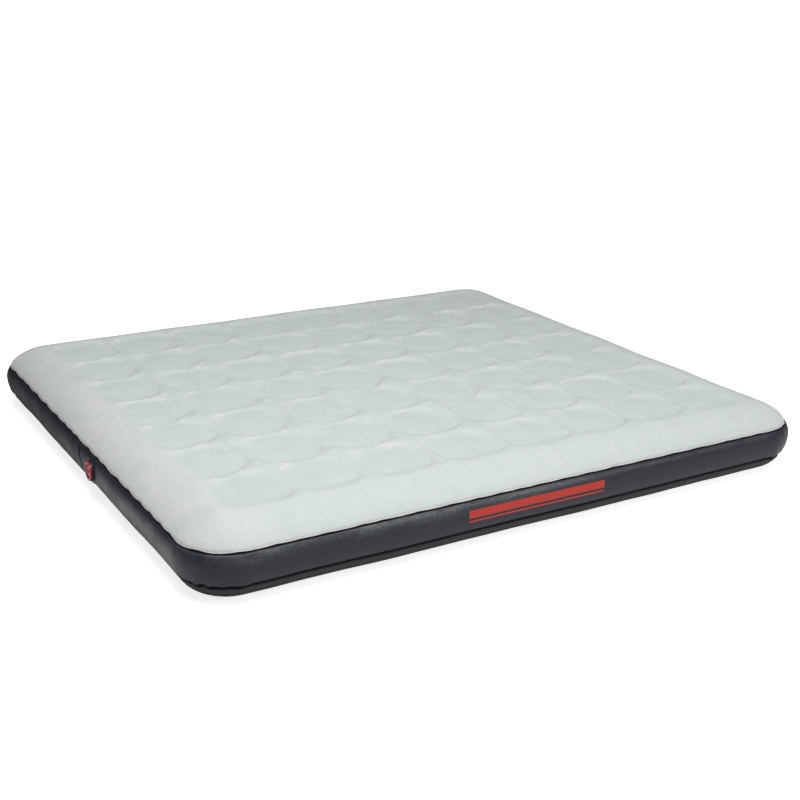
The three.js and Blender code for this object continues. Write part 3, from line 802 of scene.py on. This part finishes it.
# %% [markdown]
# ## The side band
# The band is one long strip of vinyl, bent round the bed until its ends overlap in the valve's end, where
# the upper end makes a slanting step. It could be a ring, but a strip with two ends gives the joint for
# free. The grid's columns are set so that a block of them is centred on the valve, and that block is bent
# from a square into a circle, which leaves a clean round hole.

# %% Valve place
VALVE_Y = middle("deflation_plug").y
VALVE_Z = middle("deflation_plug").z
VALVE_WAY = JOINT_Y - VALVE_Y  # from the band's end to the middle of the valve
VALVE_HOLE = 0.0316  # radius of the hole in the band
VALVE_PAD = 0.033  # the band lies flat out to here, on the valve's welded flange
VALVE_PAD_FADE = 0.0445
VALVE_SINK = 0.0020  # how far behind the bed's end the flat stretch lies
NEAR_VALVE = 0.3  # only the band's first stretch is bent round the valve


def flatten_at_valve(way, level, x, below):
    """Presses the skin flat round the valve: x goes over from its own to a plane near the bed's end."""
    aside = np.mod(way - JOINT_WAY + 1, ROUND_TRIP) - 1 - VALVE_WAY
    distance = np.hypot(aside, level - VALVE_Z)
    press = 1 - ease(distance, VALVE_PAD, VALVE_PAD_FADE)
    return x + press * (VALVE_SINK + below - HALF_LENGTH - x)


# %% The band's grid
HOLE_STEPS = 10  # grid steps across the valve's hole
LEAD_STEPS = 20  # grid steps from the band's end to the hole
FOLD_STEPS, FOLD_REACH = 6, 0.012  # closer lines over the fold at the base weld
TOP_STEPS = 8  # from the hole up to the band's edge
BAND_STEP = 0.00625
OVERLAP = 0.012
BAND_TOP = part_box("side_band")[1].z


def band_grid():
    """Ways and levels of the band's grid, with lines on both sides of the valve's hole."""
    start, end = VALVE_WAY - VALVE_HOLE, VALVE_WAY + VALVE_HOLE
    low, high = VALVE_Z - VALVE_HOLE, VALVE_Z + VALVE_HOLE
    rest = ROUND_TRIP + OVERLAP - end
    ways = [
        np.linspace(0, start, LEAD_STEPS + 1)[:-1],
        np.linspace(start, end, HOLE_STEPS + 1)[:-1],
        end + np.linspace(0, rest, 2 * int(rest / (2 * BAND_STEP)) + 1),
    ]
    levels = [
        BASE_SEAM + FOLD_REACH * np.linspace(0, 1, FOLD_STEPS + 1),
        np.linspace(low, high, HOLE_STEPS + 1)[:-1],
        np.linspace(high, BAND_TOP, TOP_STEPS + 1),
    ]
    return np.concatenate(ways), np.concatenate(levels)


def circle_the_hole(way, level):
    """Bends square rings round the valve into circles: a ring's points move out or in to the ring's own
    half width, fully at the hole's edge and not at all half as far out again."""
    aside = way - VALVE_WAY
    rise = level - VALVE_Z
    ring = np.maximum(np.abs(aside), np.abs(rise))
    radius = np.maximum(np.hypot(aside, rise), 1e-9)
    share = 1 - ease(ring, VALVE_HOLE, 1.5 * VALVE_HOLE)
    scale = 1 + share * (ring / radius - 1)
    return aside * scale + VALVE_WAY, rise * scale + VALVE_Z


# %% Side band
OVERLAP_STEP = 0.0011  # how far the outer end stands off the inner one
OVERLAP_CREASE = 0.0020
JOINT_SLANT = 0.45  # metres sideways for each metre up
BAND_THICKNESS = 0.0005
TUCK = (-0.045, -0.028)  # where the outer end's top edge starts and ends its step down, before the joint


def trim_outer_end(way, level):
    """Lowers the band's top edge where its outer end passes over the inner one, clear of the top weld."""
    tuck = ease(way - ROUND_TRIP, *TUCK)
    low, trimmed = VALVE_Z + VALVE_HOLE, TOP_SEAM - 0.0035
    squeezed = low + (level - low) * (trimmed - low) / (BAND_TOP - low)
    return np.where(level > low, level + tuck * (squeezed - level), level)


def band_lift(way):
    """Stand-off of the band's ends: the outer one steps out over the inner, and its edge makes a crease."""
    step = OVERLAP_STEP * ease(way - ROUND_TRIP, -0.025, -0.003)
    edge = np.abs(way - OVERLAP - 0.003)
    edge = np.minimum(edge, np.abs(way - ROUND_TRIP - OVERLAP - 0.003))
    return step - OVERLAP_CREASE * bump(edge, 0.004)


def band_points(way, level, round_way, below):
    """The band's points at a depth below its outer face: the side's own curve, moved along its normal by the
    swell and by the stand-off at the joint, and pressed flat round the valve."""
    x, y, out_x, out_y = outline(round_way)
    lift = swell(round_way, level) + band_lift(way) - below
    upper = UPPER.section(UPPER.angle_at(level), lift)
    lower = LOWER.section(LOWER.angle_at(level), lift)
    inset, new_level = np.where(level >= WAIST, upper, lower)
    x = x - inset * out_x
    x = np.where(way < NEAR_VALVE, flatten_at_valve(round_way, level, x, below), x)
    return np.stack([x, y - inset * out_y, new_level], axis=-1)


def rim_faces(outer, inner):
    """Quads of the wall between the edges of an outer and an inner grid."""
    a, b = border(outer), border(inner)
    return np.stack([a, b, np.roll(b, -1), np.roll(a, -1)], axis=-1)


def vinyl_band():
    """The band as a closed shell: its grid, with the hole's block left out, walls round the edge and round
    the hole, and a slant over the joint that moves each level sideways."""
    ways, levels = band_grid()
    way, level = np.meshgrid(ways, levels, indexing="ij")
    hole_way, hole_level = circle_the_hole(way, level)
    near = way < NEAR_VALVE
    way, level = np.where(near, hole_way, way), np.where(near, hole_level, level)
    level = trim_outer_end(way, level)
    lap = ease(way - ROUND_TRIP, -0.07, 0) + 1 - ease(way, OVERLAP, 0.07)
    round_way = way + JOINT_WAY - JOINT_SLANT * (level - WAIST) * lap
    grids = [band_points(way, level, round_way, below) for below in (0.0, BAND_THICKNESS)]
    outer = np.arange(way.size).reshape(way.shape)
    inner = outer + way.size
    lowest = int(np.argmin(np.abs(levels - (VALVE_Z - VALVE_HOLE))))
    keep = np.ones((way.shape[0] - 1, way.shape[1] - 1), bool)
    keep[LEAD_STEPS : LEAD_STEPS + HOLE_STEPS, lowest : lowest + HOLE_STEPS] = False
    keep = keep.ravel()
    hole = (slice(LEAD_STEPS, LEAD_STEPS + HOLE_STEPS + 1), slice(lowest, lowest + HOLE_STEPS + 1))
    faces = [
        quads(outer)[keep],
        quads(inner)[keep][:, ::-1],
        rim_faces(outer, inner),
        rim_faces(outer[hole], inner[hole])[:, ::-1],
    ]
    points = np.concatenate([g.reshape(-1, 3) for g in grids])
    used = np.unique(np.concatenate([f.ravel() for f in faces]))
    lookup = np.zeros(len(points), int)
    lookup[used] = np.arange(len(used))
    piece = build("vinyl_band", points[used], [lookup[f] for f in faces], BAND)
    # fold tells the band's material where to paint the folds' shade
    note(piece, "fold", np.tile(shade(level).ravel(), 2)[used])
    print("vinyl_band", len(used), "points", sum(len(f) for f in faces), "faces")
    return piece


band = vinyl_band()
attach(band, "root")
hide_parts("side_band")

# %% [markdown]
# ## Cloth sizes
# The band is a strip as long as the way round the waist, and the length it is cut to is printed.

print(f"the band is cut {ROUND_TRIP + OVERLAP:.3f} m long")

# %% [markdown]
# ## The valve
# The valve is moulded, so it is turned on a lathe here: a section of radius and reach goes round the
# valve's axis. Its rims are rounded with small arcs, and the plug's rim takes finger notches by changing
# the radius with the angle. Reach is measured outwards from the bed's end. Plug and cap replace the coarse
# CAD pieces at the same sizes, and the seals and the flap inside keep their CAD shape.


# %% Lathe
ARC_STEPS = 4  # in each rounded corner


def rounded(section):
    """A closed section with its corners turned into arcs: each point is a radius from the axis, a reach, and
    its corner's own radius."""
    out = []
    places = np.array(section, float)[:, :2]
    for i, (point, radius) in enumerate(zip(places, [corner[2] for corner in section])):
        if not radius:
            out.append(point)
            continue
        before = places[i - 1] - point
        after = places[(i + 1) % len(places)] - point
        before /= np.linalg.norm(before)
        after /= np.linalg.norm(after)
        half = acos(np.clip(before @ after, -1, 1)) / 2
        start, end = point + before * radius / tan(half), point + after * radius / tan(half)
        centre = point + (before + after) / np.linalg.norm(before + after) * radius / sin(half)
        for k in range(ARC_STEPS + 1):
            blend = start + (end - start) * k / ARC_STEPS - centre
            out.append(centre + blend / np.linalg.norm(blend) * radius)
    return np.array(out)


def turned(section, sides=96, shape=None):
    """A mesh of a section carried round the valve's axis. The section is in millimetres, as (radius, reach,
    corner radius), and shape may change the radius with the angle."""
    profile = rounded(section) / 1000
    angle = np.linspace(0, 2 * pi, sides, endpoint=False)[:, None]
    radius = np.broadcast_to(profile[:, 0], (sides, len(profile))).copy()
    reach = np.broadcast_to(profile[:, 1], (sides, len(profile))).copy()
    if shape:
        radius = shape(radius, reach, angle)
    y, z = VALVE_Y + radius * np.cos(angle), VALVE_Z + radius * np.sin(angle)
    points = np.stack([-HALF_LENGTH - reach, y, z], axis=-1)
    index = np.arange(radius.size).reshape(radius.shape)
    index = np.concatenate([index, index[:, :1]], axis=1)
    index = np.concatenate([index, index[:1]])
    mesh = bmesh.new()
    made = [mesh.verts.new(p) for p in points.reshape(-1, 3)]
    for corners in quads(index):
        mesh.faces.new([made[k] for k in corners])
    return mesh


# %% Plates
def over_band(aside, up, reach):
    """A place by the valve in metres, from millimetres sideways, up and outwards."""
    return Vector((-HALF_LENGTH - reach / 1000, VALVE_Y + aside / 1000, VALVE_Z + up / 1000))


def plate(outline_points, low, high, hole=None):
    """A flat plate over the band: an outline in (aside, up) millimetres, between two reaches, with an
    optional round hole given as (aside, radius)."""
    mesh = bmesh.new()
    loops = [outline_points]
    if hole:
        loops.append(arc(hole[0], hole[1], 0, 2 * pi, 33)[:-1])
    edges = []
    for loop in loops:
        made = [mesh.verts.new(over_band(aside, up, high)) for aside, up in loop]
        edges += [mesh.edges.new((made[i - 1], made[i])) for i in range(len(made))]
    bmesh.ops.triangle_fill(mesh, edges=edges, use_beauty=True)
    if hole:
        centre = over_band(hole[0], 0, high)
        within = hole[1] / 1000 * 0.98
        inside = [f for f in mesh.faces if (f.calc_center_median() - centre).length < within]
        bmesh.ops.delete(mesh, geom=inside, context="FACES")
    wall = bmesh.ops.extrude_face_region(mesh, geom=list(mesh.faces))["geom"]
    moved = [v for v in wall if isinstance(v, bmesh.types.BMVert)]
    bmesh.ops.translate(mesh, verts=moved, vec=((high - low) / 1000, 0, 0))
    bmesh.ops.recalc_face_normals(mesh, faces=mesh.faces)
    return mesh


def arc(aside, radius, start, end, count):
    """Points on a circle about a place beside the valve's axis, as (aside, up) millimetres."""
    angles = np.linspace(start, end, count)
    return [(aside + radius * cos(t), radius * sin(t)) for t in angles]


# %% From bmesh to a piece
def add_mesh(mesh, other):
    """Puts a second mesh into the first."""
    data = bpy.data.meshes.new("part")
    other.to_mesh(data)
    other.free()
    mesh.from_mesh(data)
    bpy.data.meshes.remove(data)


def finish_piece(name, mesh, material, body, nodes, bevel=0.0):
    """Turns a bmesh into a smooth piece, rides it on a body and lets it stand for its CAD nodes."""
    data = bpy.data.meshes.new(name)
    mesh.to_mesh(data)
    mesh.free()
    data.shade_smooth()
    data.set_sharp_from_angle(angle=radians(35))  # steeper edges stay crisp
    data.materials.append(material)
    piece = in_scene(name, data)
    if bevel:
        rounding = piece.modifiers.new("rounding", "BEVEL")
        rounding.width = bevel
        rounding.segments = 2
        rounding.limit_method = "ANGLE"
        rounding.angle_limit = radians(50)
    if body:
        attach(piece, body)
    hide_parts(*nodes)
    print(name, len(data.vertices), "points")
    return piece


# %% [markdown]
# ## Moulded plastic and rubber
# Moulded parts have no grain, only a trace of haze and fine scuffs. The red ones are glossy under a clear
# coat and the black ones duller, so one function with a few settings makes them all.

# %% Moulded finishes
def moulded(name, colour, deep, roughness, coat):
    """Moulded plastic: a trace of haze in the gloss, fine scuffs, and a darker colour in cloudy patches."""
    material, shader, add = new_material(name)
    place = stretched(add)
    haze = noise(add, place, 160.0, detail=4.0)
    finish_shader(
        shader,
        Base_Color=mixed(add, ramp(add, haze, 0.35, 0.75, 0.0, 0.5), colour, deep),
        Roughness=ramp(add, haze, 0.3, 0.7, roughness, roughness + 0.12),
        Coat_Weight=coat,
        Coat_Roughness=0.12,
        Normal=bumped(add, noise(add, place, 420.0, detail=3.0), 0.12, 0.0002),
    )
    return material


RED = moulded("glossy_red", (0.40, 0.008, 0.014, 1), (0.26, 0.005, 0.009, 1), 0.24, 0.3)
BLACK = moulded("moulded_black", (0.012, 0.012, 0.014, 1), (0.022, 0.022, 0.026, 1), 0.42, 0.0)
RUBBER = moulded("seal_rubber", (0.020, 0.020, 0.022, 1), (0.032, 0.031, 0.034, 1), 0.70, 0.0)
SILICONE = moulded("milky_silicone", (0.70, 0.66, 0.60, 1), (0.60, 0.57, 0.52, 1), 0.45, 0.0)
SILICONE.node_tree.nodes["Principled BSDF"].inputs["Subsurface Weight"].default_value = 0.3
COIL_FILM = vinyl("coil_film", (0.58, 0.61, 0.64, 1), (0.68, 0.70, 0.72, 1), 0.34, 0.0030, 0.00012)
COIL_FILM.node_tree.nodes["Principled BSDF"].inputs["Transmission Weight"].default_value = 0.35
print("materials:", len(bpy.data.materials))

# %% Valve base
PEG_ASIDE = 40  # millimetres from the valve's axis to the peg


def valve_collar():
    """The base's section turned round the axis, with the ear and the peg that the strap hooks onto."""
    section = [
        (22, -16, 0.5), (26, -16, 0.5), (26, -11.8, 0.5), (38, -11.8, 0.5),
        (38, -10.3, 0.5), (26, -10.3, 0.5), (26, -2.3, 0.5), (31, -1.5, 0.4),
        (31, 1.5, 1.1), (22, 1.5, 0.7),
    ]
    mesh = turned(section)
    ear = [(27, -5), *arc(PEG_ASIDE, 5, -pi / 2, pi / 2, 13), (27, 5)]
    add_mesh(mesh, plate(ear, 0.6, 1.5))
    add_mesh(mesh, plate(arc(PEG_ASIDE, 1.8, 0, 2 * pi, 25)[:-1], 1.0, 4.2))
    return mesh


finish_piece("valve_collar", valve_collar(), BLACK, "root", ["valve_base"])

# %% [markdown]
# ## The plug, the cap and the strap
# The plug is a deep red cup with a wide rim, a spout rises in its middle, and the cap closes the spout. All
# three are round, so they are turned as well. The rim's finger scoops could be cut with booleans, but here
# they change the radius with the angle, which keeps the mesh a clean grid. The strap is flat: a ring, a neck
# and an eye cut from one plate.

# %% Deflation plug
SCOOPS = 8
SCOOP_DEPTH = 0.0016


def finger_scoops(radius, reach, angle):
    """Scoops in the rim, deepest at its outer edge and gone inside 24.5 mm and behind its front."""
    share = ease(radius, 0.0245, 0.0270) * ease(reach, 0.0045, 0.0060)
    turn = np.mod(angle * SCOOPS / (2 * pi), 1) - 0.5
    return radius - SCOOP_DEPTH * share * np.exp(-((np.abs(turn) * 4.4) ** 2) * 2.2)


def screw_plug():
    """The cup, its rim and its spout in one section, from the stem hole round to the stem hole."""
    section = [
        (1.9, -10.5, 0.3), (10, -10.5, 0.5), (10, -5, 0.5), (19, -5, 0.5),
        (19, -9, 0.4), (21.4, -9, 0.4), (21.4, 3.5, 0.6), (28, 3.5, 0.9),
        (28, 8, 1.6), (19, 8, 1.4), (19, -3, 1.0), (10, -3, 1.2),
        (10, 3.5, 0.5), (7.5, 3.5, 0.5), (7.5, -8.5, 0.4), (1.9, -8.5, 0.3),
    ]
    return turned(section, sides=160, shape=finger_scoops)


finish_piece("screw_plug", screw_plug(), RED, "plug", ["deflation_plug"])

# %% Inflation cap
def screw_cap():
    """A shallow lid over the spout, with a bar to grip."""
    section = [
        (0.02, 5, 0), (10.4, 5, 0.4), (10.4, -0.9, 0.4), (12.4, -0.9, 0.6),
        (12.4, 4.4, 0.5), (15, 4.8, 0.4), (15, 6.4, 0.7), (0.02, 6.4, 0),
    ]
    mesh = turned(section)
    add_mesh(mesh, plate([(-11, -1.2), (11, -1.2), (11, 1.2), (-11, 1.2)], 5.6, 8.4))
    return mesh


finish_piece("screw_cap", screw_cap(), RED, "cap", ["inflation_cap"], bevel=0.0005)

# %% Plug tether
RING_RADIUS = 30.2
STRAP_HALF = 3.5
EYE_RADIUS = 4.5


def plug_strap():
    """A ring and an eye on one outline, each left out where the neck between them joins on."""
    leave, meet = asin(STRAP_HALF / RING_RADIUS), asin(STRAP_HALF / EYE_RADIUS)
    ring = arc(0, RING_RADIUS, leave, 2 * pi - leave, 97)
    eye = arc(PEG_ASIDE, EYE_RADIUS, pi + meet, 3 * pi - meet, 25)
    return plate(ring + eye, 1.8, 3.2, hole=(0, 25.6))


tether = finish_piece("plug_strap", plug_strap(), BLACK, None, ["plug_tether"], bevel=0.0003)
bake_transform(tether)

# %% [markdown]
# ## The pieces kept from the CAD
# The seals, the cap's strap, the flap and the coils inside the bed are simple shapes that are right as they
# are. A new mesh would add nothing, so each only gets its own finish in place of the plain one.

# %% Finishes of the CAD pieces that stay
KEPT = {"plug_seal": RUBBER, "cap_seal": RUBBER, "cap_tether": RED, "check_flap": SILICONE}
for node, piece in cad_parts.items():
    finish = COIL_FILM if node.startswith("coil_pair") else KEPT.get(node)
    if finish:
        piece.data.materials.clear()
        piece.data.materials.append(finish)
print("coil pieces:", sum(node.startswith("coil_pair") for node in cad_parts))

# %% [markdown]
# ## Studio
# The bed lies on a white floor in a white room. The light is mostly a large soft sky, brightest overhead
# and dim near the horizon and behind the valve's end, so that the glossy vinyl has something dark to
# reflect. Two soft boxes from the front add shape to the dimples. An even white world would be simpler, but
# it would wash the vinyl out. What the camera sees of the sky and the floor is plain white.


# %% Studio
WHITE = (1, 1, 1, 1)
SKY_LOW, SKY_HIGH = 0.06, 0.52  # brightness near the horizon and overhead
DARK_WALL = (-0.50, 0.82, 0.26)  # the way to the room's dark wall, behind the valve's end
LAMPS = (  # name, place, size, power
    ("front", (-0.7, -1.2, 3.6), 2.2, 142),
    ("low", (2.9, -4.7, 2.3), 1.0, 60),
)
FLOOR_SEEN = 0.80  # the floor's own light, for the camera
FLOOR_GLOW = 0.04  # and for the bed
FLOOR_WHITE, FLOOR_DIM = 0.80, 0.25  # how much light the floor gives back, in front and behind
FLOOR_BACK = (-0.4, 0.7)  # where it turns from one into the other


def light_sky():
    """A sky graded by height and dimmed towards the dark wall, and plain white where the camera sees it."""
    world = bpy.data.worlds.new("studio")
    bpy.context.scene.world = world
    world.use_nodes = True
    tree = world.node_tree
    add = node_adder(tree)
    direction = add("TexCoord").outputs["Generated"]
    rise = add("SeparateXYZ", {"Vector": direction}).outputs["Z"]
    toward = add("VectorMath", {0: direction, 1: DARK_WALL}, operation="DOT_PRODUCT").outputs["Value"]
    graded = ramp(add, rise, 0.35, 0.95, SKY_LOW, SKY_HIGH)
    strength = times(add, graded, ramp(add, toward, 0.40, 0.90, 1.0, 0.05))
    lit = add("Background", {"Color": WHITE, "Strength": strength}).outputs[0]
    seen = add("Background", {"Color": WHITE, "Strength": 1.05}).outputs[0]
    camera_ray = add("LightPath").outputs["Is Camera Ray"]
    choose = add("MixShader", {0: camera_ray, 1: lit, 2: seen}).outputs[0]
    tree.links.new(choose, tree.nodes["World Output"].inputs["Surface"])


def hang_lamps():
    """Square soft boxes, each facing the middle of the bed."""
    for name, place, size, power in LAMPS:
        data = bpy.data.lights.new(name, "AREA")
        data.size = size
        data.energy = power
        lamp = in_scene(name, data)
        lamp.location = place
        lamp.rotation_euler = Vector(place).to_track_quat("Z", "Y").to_euler()


def lay_floor():
    """A floor that the camera sees as pure white, though it gives the bed little light from below."""
    material, shader, add = new_material("floor")
    seen = add("LightPath").outputs["Is Camera Ray"]
    across = add("SeparateXYZ", {"Vector": stretched(add)}).outputs["Y"]
    back = ramp(add, across, *FLOOR_BACK, FLOOR_WHITE, FLOOR_DIM)
    share = maths(add, "MAXIMUM", back, times(add, seen, FLOOR_WHITE))
    finish_shader(
        shader,
        Base_Color=mixed(add, share, (0, 0, 0, 1), WHITE),
        Roughness=0.9,
        Specular_IOR_Level=0.1,
        Emission_Color=WHITE,
        Emission_Strength=ramp(add, seen, 0.0, 1.0, FLOOR_GLOW, FLOOR_SEEN),
    )
    data = bpy.data.meshes.new("floor")
    data.from_pydata([(-40, -40, 0), (40, -40, 0), (40, 40, 0), (-40, 40, 0)], [], [(0, 1, 2, 3)])
    data.materials.append(material)
    floor = in_scene("floor", data)


light_sky()
hang_lamps()
lay_floor()
bpy.context.scene.view_settings.view_transform = "Standard"
print("lamps:", [lamp[0] for lamp in LAMPS])
